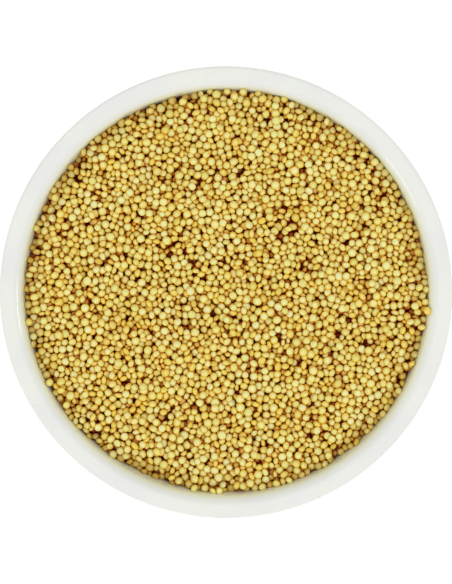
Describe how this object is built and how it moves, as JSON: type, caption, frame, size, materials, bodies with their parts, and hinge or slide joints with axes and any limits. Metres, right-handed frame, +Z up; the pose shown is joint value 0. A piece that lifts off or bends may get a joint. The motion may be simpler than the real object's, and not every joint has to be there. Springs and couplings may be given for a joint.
{
  "type": "dish of amaranth seeds",
  "caption": "Round white glazed dish with a foot ring and a flat rim, filled almost to the rim with small golden amaranth seeds.",
  "frame": {"origin": "centre of the underside of the dish's foot ring", "axes": "+Z up through the middle of the dish, +Y towards the top of the picture, +X to its right"},
  "size_m": [0.08, 0.08, 0.034],
  "materials": {
    "white_glaze": "gloss",
    "amaranth_seed": "satin"
  },
  "bodies": {
    "root": {"dish": "white_glaze", "amaranth_seeds": "amaranth_seed"}
  },
  "joints": []
}
